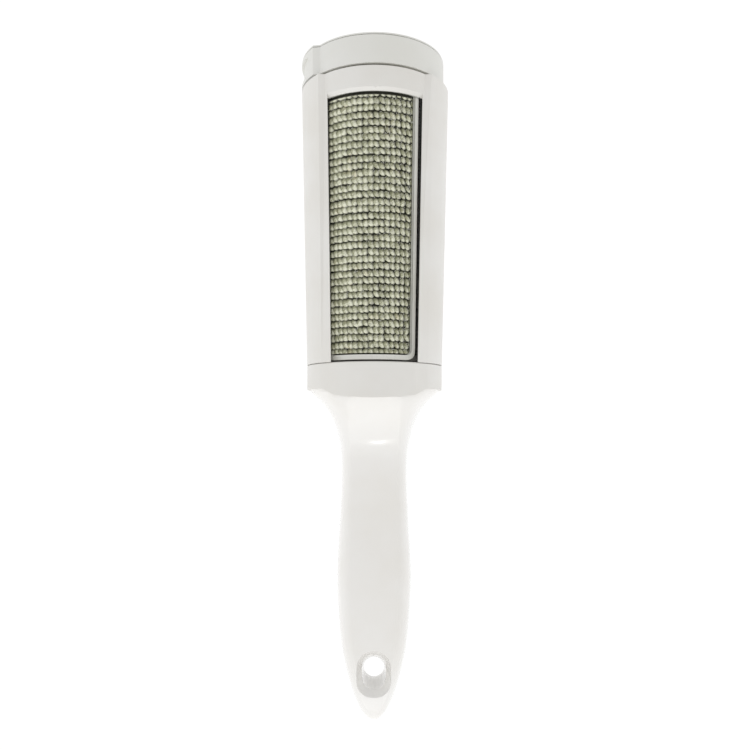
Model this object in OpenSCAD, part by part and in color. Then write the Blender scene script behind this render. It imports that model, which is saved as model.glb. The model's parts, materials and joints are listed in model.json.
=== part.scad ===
// Self-cleaning lint roller, lying on its back: +Z out of the window, +Y towards the knob,
// origin under the middle of the whole length, on the surface that it rests on. Millimetres.

/* [Handle] */
// Length of the handle below the seam between collar and tube
handle_len = 132; // [126:1:140]
// Wall of the two handle shells
handle_wall = 2.2; // [1.8:0.1:2.6]
// Diameter of the hanging hole
hang_hole_d = 8; // [6:0.1:9]
// Distance of the hanging hole from the handle's tip
hang_hole_from_tip = 16.9; // [15.5:0.1:18]

/* [Head] */
// Length of the tube between collar and knob
housing_len = 101; // [96:1:110]
// Outer radius of the tube's front at the collar
front_r_low = 25.1; // [24.9:0.1:25.3]
// Outer radius of the tube's front at the knob
front_r_high = 25.5; // [25.4:0.1:26]
// Outer radius of the raised side shoulders at the knob
shoulder_r_high = 27.25; // [27:0.05:28]
// Length of the window, from the collar
window_len = 92.7; // [86:0.1:93]

/* [Drum] */
// Radius over the cloth at the collar end
drum_r_low = 22.45; // [22:0.05:22.5]
// Radius over the cloth at the knob end
drum_r_high = 24.1; // [23.8:0.05:24.2]
// Gap between the cloth and the bore of the tube
drum_gap = 0.4; // [0.3:0.05:0.45]
// Angle that the knob and drum are turned away from straight
knob_turn = 4.7; // [0:0.1:8]

/* [Knob] */
// Height of the knob
knob_h = 10.4; // [9.5:0.1:12]
// Outer radius of the knob
knob_r = 25.5; // [25.2:0.1:25.6]
// Outer radius of the knob's thumb tab
tab_r = 27.25; // [27:0.05:27.6]

/* [Hidden] */
$fn = 96;
eps = 0.01;
fit_gap = 0.1;
far = 200;

axis_z = 26.1;                       // height of the head's axis over the rest plane
joint_gap = 0.9;                     // open seam between tube and knob
knob_s = housing_len + joint_gap;    // stations s run along the head's axis from the collar seam
head_len = knob_s + knob_h;
seam_y = (handle_len - head_len) / 2;

// Facets beside the window, as angles from the middle of the front
low_step = 0.05;                     // how far the lower end's sides stand out over its front
facet_in = [35.0, 43.6];             // inner edge, at the collar and at the knob
facet_out = [47.4, 47.0];            // outer edge, at the collar and at the knob
facet_mid = (facet_in[0] + facet_out[0]) / 2;
facet_half = (facet_out[0] - facet_in[0]) / 2;

// Collar
collar_side = 9.2;                   // depth of the collar at its sides
collar_corner = 11.5;                // depth where the facets meet the front
collar_front = 12.5;                 // depth at the middle of the front
collar_bore = 23.4;
lip_t = 1.5;
lip_bore = 20.5;
seam_gap = 0.3;                      // open groove under the tube's end, and its bottom radius
seam_r = 24.3;
spigot_r = 23.3;
spigot_d = 4.3;                      // the handle's spigot starts this far below the seam

// Back rail, the flat that the head rests on
rail_half = 9.8;
rail_depth = 6;
rail_r = 28.5;

// Bulkhead, bush and pivot pin
plate_t = 2.5;
plate_s = -lip_t - 0.2 - plate_t;
bush_r = 4.5;
bush_flange_r = 6;
bush_flange_t = 1;
pin_r = 2.5;
pin_play = 0.05;
pin_top = 9;

// Tube
window_half = [15.2, 16.65];         // at the collar and at the window's top
mouth_s = 95.5;
mouth_r = 24.6;
key_half = 3;                        // half angle of the bearing ring's keys
key_r = 25.9;
key_play = 0.2;

// Wipers, in grooves beside the window
wiper_from = 46;
wiper_to = 56;
wiper_s = [2.5, 93];
groove_depth = 1.0;
wiper_carrier_t = 0.45;
wiper_proud = 0.1;

// Drum
panel_half = [15.65, 16.8];          // half width of a cloth frame, at its bottom and its top
panel_s = [0.8, 94.3];
panel_corner = 3;
rib_w = 1.1;
rim_w = 1.7;
pile_t = 1.2;                        // thickness of the cloth with its pile
rib_low = 0.25;                      // the ribs stay this far under the pile
carrier_t = 1.5;
seat_t = 1.5;
seat_half = 24;
web_t = 3;
core_r = 9;
core_bore = 7;
disc_t = 2;
core_s = panel_s[0] + fit_gap + disc_t;  // the core stands on the lower disc
flange_s = 94.4;
flange_t = 1;
neck_r = 20;
neck_bore = 17.6;
neck_top = knob_s + 3.1;
boss_r = 5.5;
disc_r = 19.4;

// Bearing ring and detent
ring_s = [95.7, housing_len + 0.3];
ring_r = 24.55;
ring_bore = neck_r + 0.05;
ring_hole_at = 22.3;                 // the twelve blind holes in its face
ring_hole_r = 0.9;
ring_hole_depth = 2.5;
post_at = 24;                        // the spring's two posts, as an angle and a radius
post_r = 0.85;
post_h = 2.8;
spring_t = 0.4;
spring_r = 21.1;
spring_half = 28;
nib_r = 0.6;
nib_at = ring_bore + 0.05 + nib_r;

// Knob
skirt_bore = 23.7;
knob_web_t = 2;
tab_in = 45.2;                       // tab's facet, as angles from the middle of the front
tab_out = 49.2;
recess_half = 15.9;
recess_h = 7;
recess_depth = 0.8;
cover_t = 0.5;                       // the plate that closes the knob's end
cover_gap = 0.3;                     // open joint under the plate's edge
cover_inset = 0.15;
cover_seat_r = 24.4;
cover_ring = 1.2;                    // height and thickness of the plate's locating ring
screw_r = 2;
screw_head_r = 3.8;
washer_t = 0.8;

// Handle screws
screw_at = [44, 86];                 // distances below the seam
parting = -0.5;                      // parting plane of the shells, from the handle's axis
shell_screw_head_r = 2.9;
shell_screw_r = 1.25;
shell_head_z = [-8.9, -6.5];
screw_boss_r = 4.6;
hollow_end = 101;                    // the handle is solid from here to its tip
pilot_top = 4;

// Hanging hole: round in the back, then a tunnel that widens towards the head up to a round-ended
// ring, then a funnel; heights are over the handle's axis
bore_top = -6.5;
ring_h = 5.6;
ring_half_w = 4.4;
ring_len = 12.2;
mouth_half_w = 6.3;
mouth_len = 18;
mouth_past = 2.6;                    // the mouth reaches this far past the bore's lower side
mouth_h = [10.2, 7.8];               // at its end by the head and at its end by the tip
cut_top = 14;
hang_d = handle_len - hang_hole_from_tip;

// Handle: distance below the seam, half width, half thickness, half width of the flat band
grip = [
    [4.0, 24.2, 24.2, 0.4],
    [9.3, 24.1, 24.2, 2.0],
    [12.6, 20.5, 23.8, 6.0],
    [16.8, 17.1, 20.8, 7.5],
    [20.5, 15.2, 17.9, 8.0],
    [24.3, 13.9, 15.5, 8.0],
    [31.8, 12.4, 12.4, 8.0],
    [43.0, 12.1, 11.0, 7.8],
    [58.0, 12.8, 10.8, 7.8],
    [75.0, 13.7, 11.2, 8.0],
    [88.0, 13.5, 11.2, 8.0],
    [103.0, 12.2, 10.6, 7.0],
    [118.0, 8.9, 8.6, 4.5],
    [125.5, 6.2, 6.4, 2.5],
    [handle_len, 0.6, 0.6, 0.3],
];
quarter_steps = 8;

// Radius over the cloth at station s
function drum_r(s) = drum_r_low + (drum_r_high - drum_r_low) * s / housing_len;

// Point at radius r and angle a from the middle of the front, in the head's own plane
function polar(r, a) = [r * sin(a), -r * cos(a)];

// Slope of column c of the grip table at row i, for squared values
function grip_sq(i, c) = pow(grip[i][c], 2);
function grip_chord(i, c) = (grip_sq(i + 1, c) - grip_sq(i, c)) / (grip[i + 1][0] - grip[i][0]);
function grip_slope(i, c) =
    i == 0 ? grip_chord(0, c)
    : i == len(grip) - 1 ? grip_chord(i - 1, c)
    : (grip_chord(i - 1, c) + grip_chord(i, c)) / 2;

// Row of the grip table that starts the stretch holding distance d
function grip_row(d, i = 0) = i >= len(grip) - 2 || d < grip[i + 1][0] ? i : grip_row(d, i + 1);

// Column c of the grip table at distance d: a cubic through the squares, so that the tip is round
function grip_at(d, c) =
    let (i = grip_row(d), span = grip[i + 1][0] - grip[i][0], t = (d - grip[i][0]) / span,
        a = grip_sq(i, c), b = grip_sq(i + 1, c),
        m0 = grip_slope(i, c) * span, m1 = grip_slope(i + 1, c) * span,
        sq = (2 * t * t * t - 3 * t * t + 1) * a + (t * t * t - 2 * t * t + t) * m0
            + (3 * t * t - 2 * t * t * t) * b + (t * t * t - t * t) * m1)
    sqrt(max(sq, 0.01));

// Half outline of the handle at distance d, drawn in by inset, from the parting plane on +X over the
// front (up = 1) or the back (up = -1) to the parting plane on -X: a flat band and elliptical sides
function half_ring(d, inset, up) =
    let (w = grip_at(d, 1) - inset, h = grip_at(d, 2) - inset, b = min(grip_at(d, 3), w - 0.2),
        start = asin(max(parting / h, -1)))
    [for (side = [1, -1], k = [0 : quarter_steps])
        let (t = (side > 0 ? k : quarter_steps - k) / quarter_steps, a = start + (90 * up - start) * t)
        [side * (b + (w - b) * cos(a)), seam_y - d, axis_z + h * sin(a)]];

// One shell of the handle: outlines at the distances outer, hollow along the distances hollow
module half_shell(up, outer, hollow) {
    n = 2 * (quarter_steps + 1);
    m = len(outer);
    c = len(hollow);
    points = concat([for (d = outer) each half_ring(d, 0, up)],
        [for (d = hollow) each half_ring(d, handle_wall, up)]);
    skin = [for (i = [0 : m - 2], k = [0 : n - 2])
        let (p = i * n + k) each [[p, p + 1, p + n + 1], [p, p + n + 1, p + n]]];
    lining = [for (i = [0 : c - 2], k = [0 : n - 2])
        let (p = (m + i) * n + k) each [[p, p + n + 1, p + 1], [p, p + n, p + n + 1]]];
    edges = [for (i = [0 : c - 2])
        let (p = i * n, q = (m + i) * n, pe = p + n - 1, qe = q + n - 1)
        each [[p, p + n, q + n], [p, q + n, q], [pe, qe + n, pe + n], [pe, qe, qe + n]]];
    turn = let (p = (c - 1) * n, pe = c * n - 1, q = (m + c - 1) * n, qe = (m + c) * n - 1)
        [[p, p + n, q], [q, p + n, pe + n], [q, pe + n, qe], [qe, pe + n, pe]];
    tail = [for (i = [c : m - 2])
        let (p = i * n) each [[p, p + n, p + 2 * n - 1], [p, p + 2 * n - 1, p + n - 1]]];
    rim = [for (k = [0 : n - 2]) let (q = m * n + k) each [[k, q, q + 1], [k, q + 1, k + 1]]];
    caps = [[for (k = [n - 1 : -1 : 0]) (m + c - 1) * n + k], [for (k = [0 : n - 1]) (m - 1) * n + k]];
    faces = concat(skin, lining, edges, turn, tail, rim, caps);
    polyhedron(points, up < 0 ? faces : [for (f = faces) [for (k = [len(f) - 1 : -1 : 0]) f[k]]],
        convexity = 6);
}

// Head frame: local z is the station s, local x is +X, and the window is on the local -y side
module along_head() {
    translate([0, seam_y, axis_z]) rotate([-90, 0, 0]) children();
}

// The same, turned with the knob
module with_drum() {
    along_head() rotate([0, 0, -knob_turn]) children();
}

// Turns a half-round drum piece to the rear
module to_rear() {
    rotate([0, 0, 180]) children();
}

// Tube between stations a and b
module ring(a, b, r, bore) {
    difference() {
        translate([0, 0, a]) cylinder(h = b - a, r = r);
        translate([0, 0, a - 1]) cylinder(h = b - a + 2, r = bore);
    }
}

// Solid of the drum's own taper, offset from the cloth, between stations a and b
module taper(offset_r, a, b) {
    translate([0, 0, a])
        cylinder(h = b - a, r1 = drum_r(a) + offset_r, r2 = drum_r(b) + offset_r);
}

// Tapered strip between two offsets from the cloth and two angles from the middle of the front
module taper_strip(inner, outer, a, b, from, to) {
    rotate([0, 0, from - 90]) rotate_extrude(angle = to - from)
        polygon([[drum_r(a) + inner, a], [drum_r(a) + outer, a],
            [drum_r(b) + outer, b], [drum_r(b) + inner, b]]);
}

// Extrudes an outline drawn in x and s through the front of the head
module through_front(depth = 40) {
    translate([0, -8, 0]) rotate([90, 0, 0]) linear_extrude(depth) children();
}

// Outline that widens from half0 at a to half1 at b, with round lower corners
module tapered_outline(half0, half1, a, b, r) {
    polygon([[-half0 + r, a], [half0 - r, a], [half0, a + r], [half1, b], [-half1, b],
        [-half0, a + r]]);
    for (side = [-1, 1]) translate([side * (half0 - r), a + r]) circle(r);
}

// Side view of the collar, in x and s
module collar_profile() {
    in_x = front_r_low * sin(facet_in[0]);
    out_x = front_r_low * sin(facet_out[0]);
    bow = collar_front - collar_corner;
    bow_r = (in_x * in_x + bow * bow) / (2 * bow);
    polygon([[-far, 0], [-far, -collar_side], [-out_x, -collar_side], [-in_x, -collar_corner],
        [in_x, -collar_corner], [out_x, -collar_side], [far, -collar_side], [far, 0]]);
    intersection() {
        translate([0, bow_r - collar_front]) circle(bow_r, $fn = 360);
        translate([-in_x, -collar_front - 1]) square([2 * in_x, bow + 1 + eps]);
    }
}

// Flat rail under the head, between stations a and b
module back_rail(a, b) {
    intersection() {
        translate([-rail_half, axis_z - rail_depth, a]) cube([2 * rail_half, rail_depth, b - a]);
        translate([0, 0, a]) cylinder(h = b - a, r = rail_r);
    }
}

// Everything above the rest plane, in the head frame
module above_rest() {
    translate([-far / 2, axis_z - far, -far]) cube([far, far, 2 * far]);
}

module collar_block() {
    intersection() {
        union() {
            difference() {
                translate([0, 0, -20]) cylinder(h = 20, r = front_r_low);
                for (side = [-1, 1]) rotate([0, 0, side * facet_mid - 90])
                    translate([front_r_low * cos(facet_half), -5, -21]) cube([5, 10, 22]);
            }
            back_rail(-20, 0);
        }
        rotate([90, 0, 0]) linear_extrude(2 * far, center = true) collar_profile();
        above_rest();
    }
}

module collar() {
    color("gainsboro") along_head() difference() {
        collar_block();
        translate([0, 0, -20]) cylinder(h = 20 - lip_t, r = collar_bore);
        translate([0, 0, -lip_t - 1]) cylinder(h = 20, r = lip_bore);
        ring(-seam_gap, 1, 40, seam_r);
    }
}

// Space that the handle leaves free round its spigot
module collar_space() {
    along_head() difference() {
        rotate([90, 0, 0]) linear_extrude(2 * far, center = true) collar_profile();
        translate([0, 0, -far]) cylinder(h = 2 * far, r = spigot_r);
    }
}

// Cylinder across the handle at distance d, between heights a and b over its axis
module across(d, r, a, b) {
    translate([0, seam_y - d, axis_z + a]) cylinder(h = b - a, r = r);
}

// Ends of a round-ended outline of length len, reaching down to distance lower, each from its own
// height in bottoms up to top
module slot_end(lower, len, half_w, bottoms, top) {
    centres = [lower - len + half_w, lower - half_w];
    for (i = [0, 1]) across(centres[i], half_w, bottoms[i], top, $fn = 48);
}

// Tunnel and funnel of the hanging hole
module hanging_tunnel() {
    r = hang_hole_d / 2;
    low = hang_d + r;
    hull() {
        across(hang_d, r, bore_top, bore_top + eps, $fn = 48);
        slot_end(low, ring_len, ring_half_w, [ring_h, ring_h], ring_h + eps);
    }
    hull() {
        slot_end(low, ring_len, ring_half_w, [ring_h, ring_h], ring_h + eps);
        slot_end(low + mouth_past, mouth_len, mouth_half_w, mouth_h, cut_top);
    }
}

// One handle shell, with its screw bosses, the spigot in the collar and the hanging hole
module handle_shell(up) {
    neck = [for (d = [spigot_d : 2 : 34.3]) d];
    grip_part = [for (d = [39 : 5 : 99]) d];
    tip = concat([for (d = [hollow_end + 3 : 3 : handle_len - 4]) d],
        [for (rest = [2.4, 1.2, 0.4, 0]) handle_len - rest]);
    difference() {
        union() {
            half_shell(up, concat(neck, grip_part, [hollow_end], tip),
                concat(neck, grip_part, [hollow_end]));
            for (d = screw_at) {
                end = up * (grip_at(d, 2) - handle_wall / 2);
                across(d, screw_boss_r, min(parting, end), max(parting, end));
            }
        }
        collar_space();
        across(hang_d, hang_hole_d / 2, -far, bore_top + eps / 2);
        hanging_tunnel();
    }
}

module handle_front_shell() {
    color("white") difference() {
        handle_shell(1);
        for (d = screw_at) across(d, shell_screw_r, parting - 1, pilot_top);
    }
}

module handle_back_shell() {
    color("white") difference() {
        handle_shell(-1);
        for (d = screw_at) {
            across(d, shell_screw_r + 0.4, -20, 0);
            across(d, shell_screw_head_r + 0.3, -20, shell_head_z[1]);
        }
    }
}

module handle_screws() {
    color("silver") for (d = screw_at) difference() {
        union() {
            across(d, shell_screw_head_r, shell_head_z[0], shell_head_z[1]);
            across(d, shell_screw_r, shell_head_z[1] - eps, pilot_top - 0.5);
        }
        for (turn = [0, 90]) translate([0, seam_y - d, axis_z + shell_head_z[0]])
            rotate([0, 0, turn]) translate([-1.6, -0.35, -1]) cube([3.2, 0.7, 2]);
    }
}

module lower_bulkhead() {
    color("gainsboro") along_head() difference() {
        union() {
            translate([0, 0, plate_s]) cylinder(h = plate_t, r = collar_bore - 0.1);
            translate([0, 0, plate_s - 2]) cylinder(h = 2 + eps, r = bush_flange_r + 2);
            for (turn = [0 : 60 : 300]) rotate([0, 0, turn])
                translate([bush_flange_r, -0.8, plate_s - 2]) cube([14, 1.6, 2 + eps]);
        }
        translate([0, 0, plate_s - 5]) cylinder(h = 20, r = bush_r);
    }
}

module lower_bush() {
    top = plate_s + plate_t;
    color("ivory") along_head() difference() {
        union() {
            translate([0, 0, plate_s - 2]) cylinder(h = plate_t + 2, r = bush_r);
            translate([0, 0, top]) cylinder(h = bush_flange_t, r = bush_flange_r);
        }
        translate([0, 0, plate_s - 5]) cylinder(h = 20, r = pin_r + pin_play);
    }
}

// Outline of the tube at its lower (i = 0) or upper (i = 1) end
function tube_outline(i, front_r, side_r) =
    concat([for (k = [0 : 30]) polar(front_r, facet_in[i] * (k - 15) / 15)],
        [for (k = [0 : 90]) polar(side_r, facet_out[i] + (360 - 2 * facet_out[i]) * k / 90)]);

module tube_block() {
    low = tube_outline(0, front_r_low, front_r_low + low_step);
    high = tube_outline(1, front_r_high, shoulder_r_high);
    n = len(low);
    points = concat([for (p = low) [p[0], p[1], 0]], [for (p = high) [p[0], p[1], housing_len]],
        [[0, 0, 0], [0, 0, housing_len]]);
    sides = [for (k = [0 : n - 1]) let (j = (k + 1) % n) each [[k, k + n, j + n], [k, j + n, j]]];
    ends = [for (k = [0 : n - 1]) let (j = (k + 1) % n) each [[2 * n, k, j], [2 * n + 1, n + j, n + k]]];
    polyhedron(points, concat(sides, ends), convexity = 2);
}

// Column of the window, with its sides carried on past its top by extra
module window_column(extra) {
    grow = (window_half[1] - window_half[0]) / window_len;
    below = 2;
    low = window_half[0] - grow * below;
    high = window_half[1] + grow * extra;
    through_front() polygon([[-low, -below], [low, -below], [high, window_len + extra],
        [-high, window_len + extra]]);
}

module head_housing() {
    color("whitesmoke") along_head() difference() {
        intersection() {
            union() {
                tube_block();
                back_rail(0, housing_len);
            }
            above_rest();
        }
        taper(drum_gap, -1, mouth_s + eps);
        translate([0, 0, mouth_s]) cylinder(h = 20, r = mouth_r);
        window_column(0);
        intersection() {
            window_column(2);
            difference() {
                translate([0, 0, window_len - eps]) cylinder(h = 2, r = 30);
                translate([0, 0, window_len - 1]) cylinder(h = 4, r1 = 23.4, r2 = 27.4);
            }
        }
        for (side = [-1, 1]) {
            from = side > 0 ? wiper_from : -wiper_to;
            taper_strip(-2, drum_gap + groove_depth, wiper_s[0], wiper_s[1], from,
                from + wiper_to - wiper_from);
            rotate([0, 0, side * 90 - 90]) key_way(key_half + 0.6, key_r + key_play, far);
        }
    }
}

// Sector about local x, from the mouth's bottom up, used for the keys and their slots
module key_way(half, r, h) {
    translate([0, 0, mouth_s]) intersection() {
        cylinder(h = h, r = r);
        translate([mouth_r - 1, -r * tan(half), 0]) cube([5, 2 * r * tan(half), h]);
    }
}

// Strip in one wiper groove, between two depths into the tube's bore; side is -1 or 1
module wiper_layer(side, inner, outer) {
    play = 0.15;
    from = (side > 0 ? wiper_from : -wiper_to) + play;
    along_head() taper_strip(drum_gap + inner, drum_gap + outer, wiper_s[0] + play,
        wiper_s[1] - play, from, from + wiper_to - wiper_from - 2 * play);
}

module wiper_carrier(side) {
    color("gainsboro")
        wiper_layer(side, groove_depth - wiper_carrier_t, groove_depth - 0.02);
}

module wiper_strip(side) {
    color("darkolivegreen")
        wiper_layer(side, -wiper_proud, groove_depth - wiper_carrier_t - 0.01);
}

module bearing_ring() {
    color("ivory") along_head() {
        difference() {
            union() {
                ring(ring_s[0], ring_s[1], ring_r, ring_bore);
                for (side = [-1, 1]) rotate([0, 0, side * 90 - 90]) difference() {
                    translate([0, 0, ring_s[0] - mouth_s])
                        key_way(key_half, key_r, ring_s[1] - ring_s[0]);
                    translate([0, 0, 90]) cylinder(h = 20, r = ring_bore + 1);
                }
            }
            for (turn = [0 : 30 : 330]) rotate([0, 0, turn + 15])
                translate([ring_hole_at, 0, ring_s[1] - ring_hole_depth])
                    cylinder(h = 5, r = ring_hole_r);
        }
        for (side = [-1, 1]) rotate([0, 0, 90 + side * post_at])
            translate([spring_r + spring_t + post_r + 0.05, 0, ring_s[1] - 3])
                cylinder(h = post_h + 3, r = post_r);
    }
}

module detent_spring() {
    foot = ring_s[1] + 0.1;
    leaf_h = 2.7;
    color("silver") along_head() {
        rotate([0, 0, 90 - spring_half]) rotate_extrude(angle = 2 * spring_half)
            translate([spring_r, foot]) square([spring_t, leaf_h]);
        translate([0, nib_at, foot]) cylinder(h = leaf_h, r = nib_r);
    }
}

// Outline of the knob: a circle with the thumb tab on its left
module knob_outline() {
    inner = polar(knob_r, -tab_in);
    outer = polar(tab_r, -tab_out);
    facet = (outer - inner) / norm(outer - inner);
    upper = [inner - 2 * facet, inner + 20 * facet];
    circle(knob_r);
    intersection() {
        circle(tab_r);
        polygon([upper[0], upper[1], [upper[1][0], -upper[1][1]], [upper[0][0], -upper[0][1]]]);
    }
}

module knob_cap() {
    top = knob_s + knob_h;
    skirt_top = top - cover_t - cover_gap;
    web = [neck_top, neck_top + knob_web_t];
    color("gainsboro") with_drum() difference() {
        union() {
            translate([0, 0, knob_s]) linear_extrude(skirt_top - knob_s) knob_outline();
            translate([0, 0, skirt_top - eps]) cylinder(h = cover_gap + eps, r = cover_seat_r);
        }
        translate([0, 0, knob_s - 1]) cylinder(h = web[0] - knob_s + 1, r = skirt_bore);
        translate([0, 0, web[1]]) cylinder(h = 20, r = skirt_bore);
        translate([0, 0, web[0] - 1]) cylinder(h = 20, r = screw_r + 0.1);
        thumb_recess();
    }
}

// Pill-shaped thumb recess on the tab
module thumb_recess() {
    r = recess_h / 2;
    straight = recess_half - r;
    intersection() {
        ring(knob_s, knob_s + knob_h, tab_r + 2, tab_r - recess_depth);
        translate([-20, 0, knob_s + (knob_h - cover_t - cover_gap) / 2]) rotate([0, -90, 0])
            linear_extrude(10) {
                square([recess_h, 2 * straight], center = true);
                for (side = [-1, 1]) translate([0, side * straight]) circle(r);
            }
    }
}

module knob_end_plate() {
    under = knob_s + knob_h - cover_t;
    color("whitesmoke") with_drum() {
        translate([0, 0, under]) linear_extrude(cover_t) offset(delta = -cover_inset) knob_outline();
        ring(under - cover_ring, under + eps, skirt_bore - fit_gap, skirt_bore - cover_ring);
    }
}

module knob_washer() {
    base = neck_top + knob_web_t;
    color("silver") with_drum() ring(base, base + washer_t, screw_head_r + 1.4, screw_r + 0.2);
}

module knob_screw() {
    seat = neck_top + knob_web_t + washer_t;
    color("silver") with_drum() difference() {
        union() {
            translate([0, 0, seat]) cylinder(h = 2.2, r = screw_head_r);
            translate([0, 0, flange_s + 1]) cylinder(h = seat - flange_s, r = screw_r);
        }
        for (turn = [0, 90]) rotate([0, 0, turn])
            translate([-2.2, -0.45, seat + 1]) cube([4.4, 0.9, 3]);
    }
}

module drum_core() {
    top = panel_s[1];
    color("gainsboro") with_drum() difference() {
        union() {
            translate([0, 0, core_s]) cylinder(h = flange_s - core_s + eps, r = core_r);
            intersection() {
                taper(-pile_t - carrier_t - 0.05, core_s, flange_s);
                translate([-web_t / 2, -30, core_s]) cube([web_t, 60, flange_s]);
            }
            for (turn = [0, 180]) rotate([0, 0, turn])
                taper_strip(-pile_t - carrier_t - seat_t, -pile_t - carrier_t - 0.05, core_s + 3,
                    top - 1, -seat_half, seat_half);
            translate([0, 0, flange_s]) cylinder(h = flange_t, r = drum_r(flange_s) - 0.5);
            ring(flange_s, neck_top, neck_r, neck_bore);
            translate([0, 0, flange_s - 2]) cylinder(h = neck_top - flange_s + 2, r = boss_r);
        }
        translate([0, 0, core_s - 1]) cylinder(h = flange_s - 4 - core_s, r = core_bore);
        translate([0, 0, flange_s - 3 + eps]) cylinder(h = 30, r = screw_r);
        for (turn = [-90, 90]) rotate([0, 0, turn])
            translate([neck_r + 0.35, 0, ring_s[1] - 0.5]) cylinder(h = 10, r = 0.9);
    }
}

module drum_lower_disc() {
    color("gainsboro") with_drum() difference() {
        union() {
            translate([0, 0, panel_s[0] + fit_gap]) cylinder(h = disc_t, r = disc_r);
            translate([0, 0, panel_s[0] + fit_gap]) cylinder(h = pin_top, r = core_bore - fit_gap);
        }
        translate([0, 0, -1]) cylinder(h = pin_top + 1, r = pin_r);
    }
}

module pivot_pin() {
    foot = plate_s - 1.5;
    color("silver") with_drum() {
        translate([0, 0, foot + 0.5]) cylinder(h = pin_top - foot - 0.5, r = pin_r);
        translate([0, 0, foot]) cylinder(h = 0.5, r1 = pin_r - 0.5, r2 = pin_r);
    }
}

// Frame that holds one panel of cloth
module panel_carrier() {
    half0 = panel_half[0];
    half1 = panel_half[1];
    intersection() {
        difference() {
            taper(-rib_low, panel_s[0], panel_s[1]);
            taper(-pile_t - carrier_t, panel_s[0] - 1, panel_s[1] + 1);
        }
        through_front() tapered_outline(half0, half1, panel_s[0], panel_s[1], panel_corner);
    }
}

// Space for the cloth in its frame, drawn in by play
module cloth_bed(play) {
    inset = rib_w + play;
    through_front() tapered_outline(panel_half[0] - inset, panel_half[1] - inset,
        panel_s[0] + rim_w + play, panel_s[1] - rib_w - play, panel_corner - rib_w);
}

module panel_frame() {
    difference() {
        panel_carrier();
        intersection() {
            cloth_bed(0);
            difference() {
                taper(2, 0, 100);
                taper(-pile_t, -1, 101);
            }
        }
    }
}

module cloth_panel() {
    intersection() {
        cloth_bed(0.05);
        difference() {
            taper(0, 0, 100);
            taper(-pile_t + 0.01, -1, 101);
        }
    }
}

module panel_carrier_front() { color("white") with_drum() panel_frame(); }
module panel_carrier_rear() { color("white") with_drum() to_rear() panel_frame(); }
module fabric_panel_front() { color("darkkhaki") with_drum() cloth_panel(); }
module fabric_panel_rear() { color("darkkhaki") with_drum() to_rear() cloth_panel(); }
module wiper_carrier_left() { wiper_carrier(-1); }
module wiper_carrier_right() { wiper_carrier(1); }
module wiper_strip_left() { wiper_strip(-1); }
module wiper_strip_right() { wiper_strip(1); }

handle_front_shell();
handle_back_shell();
handle_screws();
collar();
lower_bulkhead();
lower_bush();
head_housing();
wiper_carrier_left();
wiper_carrier_right();
wiper_strip_left();
wiper_strip_right();
bearing_ring();
detent_spring();
knob_cap();
knob_end_plate();
knob_screw();
knob_washer();
drum_core();
drum_lower_disc();
pivot_pin();
panel_carrier_front();
panel_carrier_rear();
fabric_panel_front();
fabric_panel_rear();
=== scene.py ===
import json
import math

import bpy
import numpy as np
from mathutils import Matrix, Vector


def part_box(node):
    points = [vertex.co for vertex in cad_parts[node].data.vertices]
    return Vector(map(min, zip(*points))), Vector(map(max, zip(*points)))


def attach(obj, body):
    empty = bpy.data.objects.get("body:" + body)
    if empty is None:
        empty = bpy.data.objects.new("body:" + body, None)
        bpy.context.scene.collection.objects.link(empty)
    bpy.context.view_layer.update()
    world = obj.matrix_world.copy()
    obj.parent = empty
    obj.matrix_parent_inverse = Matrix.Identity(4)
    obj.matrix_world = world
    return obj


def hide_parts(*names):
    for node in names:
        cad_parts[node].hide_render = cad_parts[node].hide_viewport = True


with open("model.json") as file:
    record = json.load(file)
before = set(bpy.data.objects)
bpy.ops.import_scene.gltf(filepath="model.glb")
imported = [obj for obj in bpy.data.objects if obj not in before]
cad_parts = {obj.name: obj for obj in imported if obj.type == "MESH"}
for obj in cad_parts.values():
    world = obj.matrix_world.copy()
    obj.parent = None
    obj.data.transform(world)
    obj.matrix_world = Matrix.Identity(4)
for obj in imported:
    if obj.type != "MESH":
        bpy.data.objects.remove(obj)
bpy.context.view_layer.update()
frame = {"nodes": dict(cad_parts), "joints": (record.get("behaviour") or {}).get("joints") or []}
nodes = frame["nodes"]
scene = bpy.context.scene

MM = 0.001
AXIS_Z = next(j for j in frame["joints"] if j["name"] == "drum_turn")["pos_m"][2]
SEAM_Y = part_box("head_housing")[0][1]      # the tube starts at its seam with the collar


# ---------------------------------------------------------------- materials

def srgb(r, g, b):
    """Linear colour from 0-255 display values."""
    def lin(v):
        v /= 255
        return v / 12.92 if v <= 0.04045 else ((v + 0.055) / 1.055) ** 2.4
    return (lin(r), lin(g), lin(b), 1)


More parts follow.
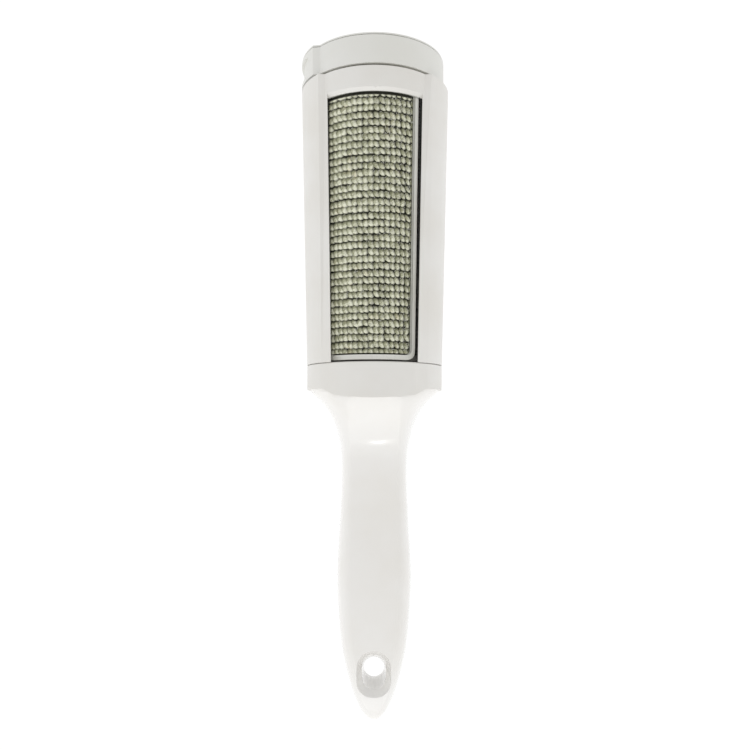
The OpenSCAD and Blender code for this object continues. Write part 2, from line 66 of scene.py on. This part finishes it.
class Shader:
    """A node material under construction."""

    def __init__(self, name):
        self.mat = bpy.data.materials.new(name)
        self.mat.use_nodes = True
        self.tree = self.mat.node_tree
        self.bsdf = self.tree.nodes["Principled BSDF"]

    def link(self, a, b):
        self.tree.links.new(a, b)

    def coords(self, scale=(1, 1, 1)):
        tex = self.tree.nodes.new("ShaderNodeTexCoord")
        mapping = self.tree.nodes.new("ShaderNodeMapping")
        mapping.inputs["Scale"].default_value = scale
        self.link(tex.outputs["Object"], mapping.inputs["Vector"])
        return mapping.outputs["Vector"]

    def noise(self, scale, detail=3, rough=0.5, vector=None, distortion=0):
        n = self.tree.nodes.new("ShaderNodeTexNoise")
        n.inputs["Scale"].default_value = scale
        n.inputs["Detail"].default_value = detail
        n.inputs["Roughness"].default_value = rough
        n.inputs["Distortion"].default_value = distortion
        self.link(vector if vector is not None else self.coords(), n.inputs["Vector"])
        return n.outputs["Fac"]

    def ramp(self, fac, stops):
        n = self.tree.nodes.new("ShaderNodeValToRGB")
        ramp = n.color_ramp
        while len(ramp.elements) < len(stops):
            ramp.elements.new(0.5)
        for element, (at, colour) in zip(ramp.elements, stops):
            element.position = at
            element.color = colour if hasattr(colour, "__len__") else (colour, colour, colour, 1)
        self.link(fac, n.inputs["Fac"])
        return n.outputs["Color"]

    def remap(self, fac, low, high, to_low, to_high):
        n = self.tree.nodes.new("ShaderNodeMapRange")
        for key, value in zip(("From Min", "From Max", "To Min", "To Max"), (low, high, to_low, to_high)):
            n.inputs[key].default_value = value
        self.link(fac, n.inputs["Value"])
        return n.outputs["Result"]

    def mix(self, fac, a, b, blend="MIX"):
        n = self.tree.nodes.new("ShaderNodeMix")
        n.data_type = "RGBA"
        n.blend_type = blend
        for value, at in ((fac, 0), (a, 6), (b, 7)):
            if isinstance(value, bpy.types.NodeSocket):
                self.link(value, n.inputs[at])
            else:
                n.inputs[at].default_value = value
        return n.outputs[2]

    def math(self, operation, a, b=0.0):
        n = self.tree.nodes.new("ShaderNodeMath")
        n.operation = operation
        for i, value in enumerate((a, b)):
            if isinstance(value, bpy.types.NodeSocket):
                self.link(value, n.inputs[i])
            else:
                n.inputs[i].default_value = value
        return n.outputs[0]

    def bump(self, height, distance, strength=1.0, after=None):
        n = self.tree.nodes.new("ShaderNodeBump")
        n.inputs["Strength"].default_value = strength
        n.inputs["Distance"].default_value = distance
        self.link(height, n.inputs["Height"])
        if after is not None:
            self.link(after, n.inputs["Normal"])
        return n.outputs["Normal"]

    def set(self, **values):
        for key, value in values.items():
            socket = self.bsdf.inputs[key.replace("_", " ")]
            if isinstance(value, bpy.types.NodeSocket):
                self.link(value, socket)
            else:
                socket.default_value = value
        return self.mat


def plastic(name, colour, warm, rough, grain, grain_mm, coat=0.0):
    """Moulded plastic: slight mottling, uneven gloss and a surface grain grain_mm deep."""
    s = Shader(name)
    broad = s.noise(38, 3, 0.55)
    fine = s.noise(900, 4, 0.6)
    tint = s.mix(s.remap(broad, 0.35, 0.65, 0, 1), colour, warm)
    specks = s.ramp(s.noise(2300, 2, 0.5), [(0.70, 1.0), (0.84, 0.90)])
    base = s.mix(0.55, tint, specks, "MULTIPLY")
    gloss = s.remap(s.math("ADD", s.math("MULTIPLY", broad, 0.6), s.math("MULTIPLY", fine, 0.4)),
        0.35, 0.65, rough - 0.05, rough + 0.06)
    ripple = s.bump(s.noise(55, 2, 0.4), 0.02 * MM, 0.25)
    normal = s.bump(s.noise(grain, 3, 0.6), grain_mm * MM, 0.5, after=ripple)
    return s.set(Base_Color=base, Roughness=gloss, Normal=normal, IOR=1.5, Coat_Weight=coat,
        Coat_Roughness=0.06)


def metal(name, colour, rough):
    """Zinc plating: fine drawn lines and small dull patches."""
    s = Shader(name)
    lines = s.noise(1400, 4, 0.6, s.coords((1, 0.08, 1)))
    patches = s.noise(220, 3, 0.6)
    base = s.mix(s.remap(patches, 0.4, 0.65, 0, 1), colour, tuple(c * 0.72 for c in colour[:3]) + (1,))
    gloss = s.remap(s.math("ADD", s.math("MULTIPLY", lines, 0.5), s.math("MULTIPLY", patches, 0.5)),
        0.35, 0.65, rough - 0.08, rough + 0.12)
    return s.set(Base_Color=base, Roughness=gloss, Metallic=1.0, Normal=s.bump(lines, 0.01 * MM, 0.5))


def cloth(name, dark, low, high, bright):
    """Pile cloth. Vertex attributes: height (0 in the holes, 1 on the tufts), tint (painted light:
    each tuft lighter towards its lower right, with a random tone for each tuft) and weave (millimetres
    along the fibres and across them). Where the height is low, the dark colour goes on as painted shade in
    the holes."""
    s = Shader(name)

    def attribute(which, out):
        n = s.tree.nodes.new("ShaderNodeAttribute")
        n.attribute_name = which
        return n.outputs[out]

    height = attribute("height", "Fac")
    tint = attribute("tint", "Fac")
    stretch = s.tree.nodes.new("ShaderNodeMapping")
    stretch.inputs["Scale"].default_value = (0.7, 2.6, 1.0)
    s.link(attribute("weave", "Vector"), stretch.inputs["Vector"])
    fibres = s.noise(1.0, 3, 0.6, stretch.outputs["Vector"], 0.3)
    # painted light: the tint makes each tuft's lower right lighter, and the bright end of the ramp is a
    # painted highlight there
    level = s.math("ADD", s.math("MULTIPLY", tint, 0.5), s.math("MULTIPLY", fibres, 0.5))
    face = s.ramp(level, [(0.36, low), (0.50, high), (0.62, bright)])
    # painted shade: the dark colour fills the holes between the tufts, where the height is low
    base = s.mix(s.remap(height, 0.14, 0.72, 0, 1), dark, face)
    fleck = s.ramp(s.noise(260, 2, 0.5), [(0.60, (1, 1, 1, 1)), (0.72, (1.0, 0.93, 0.84, 1))])
    base = s.mix(0.6, base, fleck, "MULTIPLY")
    gloss = s.remap(fibres, 0.3, 0.7, 0.58, 0.38)
    return s.set(Base_Color=base, Roughness=gloss, Normal=s.bump(fibres, 0.09 * MM, 0.6),
        Sheen_Weight=0.25, Sheen_Roughness=0.4, IOR=1.45)


def glint_strand(name, colour):
    """Near-white shiny nylon hairs: the white is a painted glint, the gloss is real."""
    s = Shader(name)
    base = s.mix(s.noise(700, 2, 0.5), colour, tuple(c * 0.8 for c in colour[:3]) + (1,))
    return s.set(Base_Color=base, Roughness=s.remap(s.noise(1500, 2, 0.5), 0.3, 0.7, 0.18, 0.34),
        IOR=1.5)


handle_white = plastic("handle_white", srgb(242, 241, 239), srgb(238, 236, 232), 0.14, 1300, 0.004, 0.4)
satin_white = plastic("satin_white", srgb(233, 232, 229), srgb(228, 226, 221), 0.46, 2600, 0.014)
cap_white = plastic("cap_white", srgb(231, 231, 228), srgb(226, 226, 221), 0.44, 2600, 0.014)
frame_white = plastic("frame_white", srgb(234, 234, 229), srgb(226, 226, 219), 0.30, 1900, 0.008)
nylon = plastic("nylon", srgb(224, 221, 206), srgb(214, 210, 192), 0.38, 1500, 0.010)
steel = metal("steel", srgb(196, 198, 200), 0.28)
# pile: the first colour is painted shade in the holes, the last one a painted highlight on the tufts' lit
# lower right
pile = cloth("pile_cloth", srgb(34, 34, 20), srgb(122, 124, 96), srgb(180, 181, 152), srgb(236, 237, 216))
wiper = cloth("wiper_cloth", srgb(10, 10, 8), srgb(34, 34, 27), srgb(58, 58, 46), srgb(104, 104, 90))
# near-white hairs on the olive pile: painted glints
glint_hair = glint_strand("pile_glint_hair", srgb(236, 236, 226))


# ---------------------------------------------------------------- CAD nodes

def dress(node, material, bevel=0.22, angle=32):
    """Gives a CAD node its material, softly rounded edges and smooth faces."""
    o = nodes[node]
    mesh = o.data
    mesh.materials.clear()
    mesh.materials.append(material)
    mesh.polygons.foreach_set("use_smooth", [True] * len(mesh.polygons))
    for a in [a.name for a in mesh.attributes if a.name == "custom_normal"]:
        mesh.attributes.remove(mesh.attributes[a])
    weld = o.modifiers.new("weld", "WELD")
    weld.merge_threshold = 0.002 * MM
    if bevel:
        b = o.modifiers.new("edges", "BEVEL")
        b.width = bevel * MM
        b.segments = 2
        b.limit_method = "ANGLE"
        b.angle_limit = math.radians(angle)
        b.harden_normals = False
        b.use_clamp_overlap = True
    split = o.modifiers.new("split", "EDGE_SPLIT")
    split.split_angle = math.radians(angle)
    w = o.modifiers.new("normals", "WEIGHTED_NORMAL")
    w.keep_sharp = True
    w.weight = 80
    return o


dress("handle_front_shell", handle_white, 0)
dress("handle_back_shell", handle_white, 0)
dress("collar", satin_white, 0.2)
dress("head_housing", satin_white, 0.2)
dress("knob_cap", cap_white, 0.2)
dress("knob_end_plate", cap_white, 0.15)
for name in ("panel_carrier_front", "panel_carrier_rear"):
    dress(name, frame_white, 0.2)
for name in ("drum_core", "drum_lower_disc", "lower_bulkhead", "wiper_carrier_left", "wiper_carrier_right"):
    dress(name, satin_white, 0.12)
for name in ("bearing_ring", "lower_bush"):
    dress(name, nylon, 0.12)
for name in ("handle_screws", "knob_screw", "knob_washer", "pivot_pin", "detent_spring"):
    dress(name, steel, 0.08)


# ---------------------------------------------------------------- pile cloth

HEAD_LEN = 101.0           # length of the tube, over which the drum's radius grows
DRUM_R = (22.45, 24.1)     # radius over the cloth at the collar end and at the knob end
MID_R = 23.3               # about the middle of that, to turn angles into lengths
KNOB_TURN = math.radians(4.7)


def head_point(radius, angle, s):
    """Point in the row frame at station s of the head: angle from the middle of the front, towards +X."""
    return np.stack([radius * np.sin(angle), SEAM_Y / MM + s, AXIS_Z / MM + radius * np.cos(angle)],
        axis=-1) * MM


def drum_radius(s):
    return DRUM_R[0] + (DRUM_R[1] - DRUM_R[0]) * s / HEAD_LEN


def grid_faces(nu, nv):
    """Quads of a grid with nu by nv points, rows first."""
    i, j = np.meshgrid(np.arange(nu - 1), np.arange(nv - 1))
    p = (j * nu + i).ravel()
    return np.stack([p, p + 1, p + nu + 1, p + nu], axis=1)


def mesh_object(name, points, faces, body, materials, values=()):
    """A mesh from arrays, which rides on a body. values: (name, kind, array) vertex attributes."""
    mesh = bpy.data.meshes.new(name)
    mesh.from_pydata(points.tolist(), [], faces.tolist() if hasattr(faces, "tolist") else faces)
    for m in materials:
        mesh.materials.append(m)
    for key, kind, array in values:
        a = mesh.attributes.new(key, kind, "POINT")
        a.data.foreach_set("value" if kind == "FLOAT" else "vector",
            np.ascontiguousarray(array, np.float32).ravel())
    mesh.polygons.foreach_set("use_smooth", [True] * len(mesh.polygons))
    mesh.update()
    o = bpy.data.objects.new(name, mesh)
    scene.collection.objects.link(o)
    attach(o, body)
    return o


PITCH_U, PITCH_V = 1.95, 2.47      # one tuft, round the drum and along it


def tufts(u, v, wide, seed):
    """Height and tint of the tufted pile at u (round the drum) and v (along it, towards the collar).
    The tufts' half width, wide, is in pitches: where it is large they close up into bands. The tint is
    painted light: each tuft lighter towards its lower right, with a random tone for each tuft."""
    rng = np.random.default_rng(seed)
    n = 64
    shift_u, shift_v = rng.normal(0, 0.045, (n, n)), rng.normal(0, 0.03, (n, n))
    size = rng.normal(1.0, 0.05, (n, n))
    tall = rng.normal(0.97, 0.06, (n, n))
    skew = rng.normal(0.42, 0.16, (n, n))
    shade = rng.uniform(0, 1, (n, n))
    row_shift = rng.normal(0, 0.02, n)
    i0, j0 = np.floor(u / PITCH_U).astype(int), np.floor(v / PITCH_V).astype(int)
    best, tint = np.zeros_like(u), np.full_like(u, 0.5)
    for dj in (-1, 0, 1):
        for di in (-1, 0, 1):
            i, j = (i0 + di) % n, (j0 + dj) % n
            a = (u / PITCH_U - (i0 + di + 0.5 + shift_u[j, i])) / (wide * size[j, i])
            b = (v / PITCH_V - (j0 + dj + 0.5 + shift_v[j, i] + row_shift[j])) / (0.53 * size[j, i])
            a = a - skew[j, i] * b                    # the tuft's sides lean to the lower right
            r = (np.abs(a) ** 2.3 + np.abs(b) ** 2.3) ** (1 / 2.3)
            dome = np.clip(1 - r ** 3.0, 0, 1) ** 0.6
            ridge = np.sin(9.0 * (a + 0.5 * b) + 6.3 * shade[j, i]) * 0.05 * dome
            high = (dome * (0.86 + 0.10 * b + 0.07 * a) + ridge) * tall[j, i]
            # painted light: lighter towards the tuft's lower right, darker towards its upper left, plus a
            # random tone for the tuft
            lit_side_tone = 0.5 + 0.42 * (0.75 * a + 0.65 * b) + 0.22 * (shade[j, i] - 0.5)
            better = high > best
            best, tint = np.where(better, high, best), np.where(better, lit_side_tone, tint)
    return np.clip(best, 0, 1.02), tint


def closed_sheet(outer, inner, nu, nv, step):
    """Points and faces of a solid between two grids: outer whole, inner with every step-th column."""
    columns = list(range(0, nu, step))
    faces = grid_faces(nu, nv)[:, ::-1].tolist()
    points = list(outer)
    at = {}

    def low(j, i):
        if (j, i) not in at:
            at[j, i] = len(points)
            points.append(inner[j * nu + i])
        return at[j, i]

    for j in range(nv - 1):
        for c0, c1 in zip(columns, columns[1:]):
            upper = list(range(c0, c1 + 1)) if j == 0 else [c0, c1]
            lower = list(range(c0, c1 + 1)) if j == nv - 2 else [c0, c1]
            faces.append([low(j, i) for i in upper] + [low(j + 1, i) for i in reversed(lower)])
        for i, flip in ((0, False), (nu - 1, True)):
            side = [j * nu + i, (j + 1) * nu + i, low(j + 1, i), low(j, i)]
            faces.append(side[::-1] if flip else side)
    for j, flip in ((0, True), (nv - 1, False)):
        for i in range(nu - 1):
            side = [j * nu + i, j * nu + i + 1, low(j, i + 1), low(j, i)]
            faces.append(side[::-1] if flip else side)
    return np.array(points), faces


LEAN_U, LEAN_V = 0.85, 0.45        # how far the tips lean to the left and towards the collar, in mm


def cloth_panel(node, rear, seed):
    """One panel of pile cloth: a sheet of leaning tufts over the drum's taper, closed at the back,
    with near-white shiny hairs on it as painted glints."""
    rng = np.random.default_rng(seed)
    nu, nv = 176, 508
    s0, s1, corner = 2.55, 93.15, 1.9
    t = np.linspace(-1, 1, nu)
    s = np.linspace(s1, s0, nv)                       # from the knob end down to the collar end
    half = 14.5 + 1.15 * (s - s0) / (s1 - s0)
    low = np.clip(corner - (s - s0), 0, corner)
    half = half - (corner - np.sqrt(np.clip(corner ** 2 - low ** 2, 0, None)))
    radius = drum_radius(s)[:, None]
    angle = np.arcsin((half / radius[:, 0])[:, None] * t)
    station = np.repeat(s[:, None], nu, axis=1)
    u = angle * MID_R + 60.6
    v = (s1 - station) + 0.6
    wide = 0.59 + 0.09 * np.clip(-(t + 0.15) / 0.6, 0, 1) - 0.035 * np.clip((t - 0.2) / 0.5, 0, 1)
    height, tint = tufts(u, v, np.repeat(wide[None, :], nv, axis=0), seed)
    # the pile stops just short of the frame, and of the window's upper edge; there the height, and with it
    # the colour, drops to the dark hole colour: painted shade along the frame and under that edge
    edge = np.clip((1 - np.abs(t))[None, :] * half[:, None] / 0.4, 0, 1)
    edge = edge * np.clip((station - s0 - 0.45) / 0.4, 0, 1) * np.clip((92.3 - station) / 0.3, 0, 1)
    lifted = (height + rng.normal(0, 0.014, height.shape)) * edge
    turn = -KNOB_TURN + (math.pi if rear else 0)
    outer = head_point(radius - 1.08 + 1.02 * np.clip(lifted, 0, 1.03),
        angle - LEAN_U * height * edge / MID_R + turn, station - LEAN_V * height * edge)
    inner = head_point(np.repeat(radius - 1.17, nu, axis=1), angle + turn, station)
    points, faces = closed_sheet(outer.reshape(-1, 3), inner.reshape(-1, 3), nu, nv, 35)
    extra = len(points) - nu * nv
    weave = np.stack([u * 0.88 - v * 0.47, u * 0.47 + v * 0.88, tint * 7], axis=-1).reshape(-1, 3)
    o = mesh_object(node + "_pile", points, faces, "drum", [pile],
        [("height", "FLOAT", np.append((height * edge).ravel(), np.full(extra, 0.1))),
            ("tint", "FLOAT", np.append(tint.ravel(), np.full(extra, 0.5))),
            ("weave", "FLOAT_VECTOR", np.concatenate([weave, np.zeros((extra, 3))]))])
    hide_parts(node)
    hairs(node + "_hairs", rng, turn)
    return o


def hairs(name, rng, turn):
    """Thin three-sided near-white hairs that lie on the tufts: painted glints, most of them on the right.
    """
    count = 1300
    s = rng.uniform(3.4, 91.6, count)
    half = 14.0 + 1.15 * s / 93
    # more hairs towards the panel's right side, to put the painted glints there
    a = np.arcsin(rng.triangular(-0.97, 0.97, 0.97, count) * half / drum_radius(s))
    length = rng.uniform(0.5, 1.1, count)
    heading = rng.normal(0.9, 0.45, count)            # from the left, turned towards the collar
    rise = rng.uniform(-0.06, 0.05, count)
    width = rng.uniform(0.12, 0.24, count)
    points, faces = [], []
    for k in range(3):
        at = k / 2
        along = length * (at - 0.5)
        ss, aa = s - along * np.sin(heading), a - along * np.cos(heading) / MID_R
        rr = drum_radius(ss) - 0.06 + rise + 0.10 * np.sin(math.pi * at)
        w = width * (1 - 0.7 * at)
        for c in range(3):
            turn_c = 2 * math.pi * c / 3
            points.append(head_point(rr + w * 0.5 * np.cos(turn_c),
                aa + w * 0.5 * np.sin(turn_c) * np.sin(heading) / MID_R + turn,
                ss - w * 0.5 * np.sin(turn_c) * np.cos(heading)))
    points = np.stack(points, axis=1).reshape(-1, 3)
    for k in range(count):
        p = 9 * k
        faces += [[p, p + 2, p + 1], [p + 6, p + 7, p + 8]]
        for ring in (0, 3):
            for c in range(3):
                d = (c + 1) % 3
                faces.append([p + ring + c, p + ring + d, p + ring + 3 + d, p + ring + 3 + c])
    return mesh_object(name, points, faces, "drum", [glint_hair])


cloth_panel("fabric_panel_front", False, 11)
cloth_panel("fabric_panel_rear", True, 23)


# ---------------------------------------------------------------- wipers

def wiper_strip(node, side, seed):
    """Dark short-pile wiper: a body in the tube's groove and a thin ragged flap that reaches the
    window's edge, in the gap over the drum."""
    rng = np.random.default_rng(seed)
    s = np.linspace(2.65, 92.85, 420)
    outline = [(55.85, 0.93), (46.2, 0.93), (46.2, 0.36), (44.6, 0.35), (43.1, 0.34), (41.9, 0.33),
        (40.9, 0.30), (40.9, 0.12), (41.9, 0.10), (43.1, 0.10), (44.6, 0.10), (46.2, 0.12),
        (47.9, 0.30), (49.5, 0.32), (51.1, 0.30), (52.7, 0.32), (54.3, 0.30), (55.85, 0.31)]
    n = len(outline)
    points = []
    for k, (degrees, offset) in enumerate(outline):
        ragged = rng.normal(0, 1, len(s))
        ragged = 0.5 * ragged + 0.5 * np.convolve(ragged, np.ones(5) / 5, "same") * 2
        short = 1.7 if side < 0 and 4 <= k <= 8 else 0     # the left flap stops sooner
        loose = 0.35 if 5 <= k <= 8 else 0.05 if 2 < k < 12 else 0
        reach = loose * ragged
        bump = 0.035 * rng.normal(0, 1, len(s)) if k >= 12 else 0 * s
        angle = side * np.radians(degrees + short + reach)
        points.append(head_point(drum_radius(s) + offset + bump, angle, s))
    points = np.stack(points, axis=1).reshape(-1, 3)
    faces = [[j * n + k, j * n + (k + 1) % n, (j + 1) * n + (k + 1) % n, (j + 1) * n + k]
        for j in range(len(s) - 1) for k in range(n)]
    last = (len(s) - 1) * n
    faces += [list(range(n))[::-1], list(range(last, last + n))]
    if side < 0:
        faces = [f[::-1] for f in faces]
    o = mesh_object(node + "_pile", points, faces, "housing", [wiper])
    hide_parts(node)
    return o


wiper_strip("wiper_strip_left", -1, 5)
wiper_strip("wiper_strip_right", 1, 6)


# ---------------------------------------------------------------- floor, light and camera

def flat_light(name, location, target, size, watts):
    lamp = bpy.data.lights.new(name, "AREA")
    lamp.shape = "RECTANGLE"
    lamp.size, lamp.size_y = size
    lamp.energy = watts
    o = bpy.data.objects.new(name, lamp)
    scene.collection.objects.link(o)
    o.location = location
    o.rotation_euler = (Vector(target) - Vector(location)).to_track_quat("-Z", "Y").to_euler()
    return o


floor_mesh = bpy.data.meshes.new("floor")
floor_mesh.from_pydata([(-1.5, -1.5, 0), (1.5, -1.5, 0), (1.5, 1.5, 0), (-1.5, 1.5, 0)], [], [(0, 1, 2, 3)])
floor = bpy.data.objects.new("floor", floor_mesh)
scene.collection.objects.link(floor)
floor.location = (0, 0, -0.0004)
white = Shader("pale_floor")
white.set(Base_Color=(0.12, 0.12, 0.12, 1), Roughness=0.9, Specular_IOR_Level=0.0,
    Emission_Color=(1, 1, 1, 1), Emission_Strength=0.94)
floor_mesh.materials.append(white.mat)

world = bpy.data.worlds.new("studio")
world.use_nodes = True
scene.world = world
tree = world.node_tree
background = tree.nodes["Background"]
where = tree.nodes.new("ShaderNodeTexCoord")
slope = tree.nodes.new("ShaderNodeVectorMath")
slope.operation = "DOT_PRODUCT"
slope.inputs[1].default_value = (-0.04, -0.18, -0.17)      # brighter low down and towards the handle
level = tree.nodes.new("ShaderNodeMath")
level.operation = "ADD"
level.inputs[1].default_value = 0.935
tree.links.new(where.outputs["Generated"], slope.inputs[0])
tree.links.new(slope.outputs["Value"], level.inputs[0])
tree.links.new(level.outputs[0], background.inputs["Strength"])
background.inputs["Color"].default_value = (1.0, 0.995, 0.985, 1)

flat_light("soft_light", (0.0, -0.75, 0.42), (0, -0.03, 0.03), (1.3, 0.5), 1.2)
flat_light("key_light", (0.008, -0.55, 0.55), (0, 0.02, 0.03), (0.026, 0.045), 0.04)

camera = bpy.data.cameras.new("camera")
camera.lens = 36.24
camera.sensor_width = 36
camera.shift_x = -0.0027
camera.shift_y = 0.06
camera.clip_start = 0.01
eye = bpy.data.objects.new("camera", camera)
scene.collection.objects.link(eye)
eye.location = (0.00098, -0.01035, 0.3092)
eye.rotation_euler = (0, 0, math.radians(0.12))
scene.camera = eye

scene.view_settings.view_transform = "Standard"
scene.view_settings.look = "None"
scene.view_settings.exposure = 0
scene.view_settings.gamma = 1
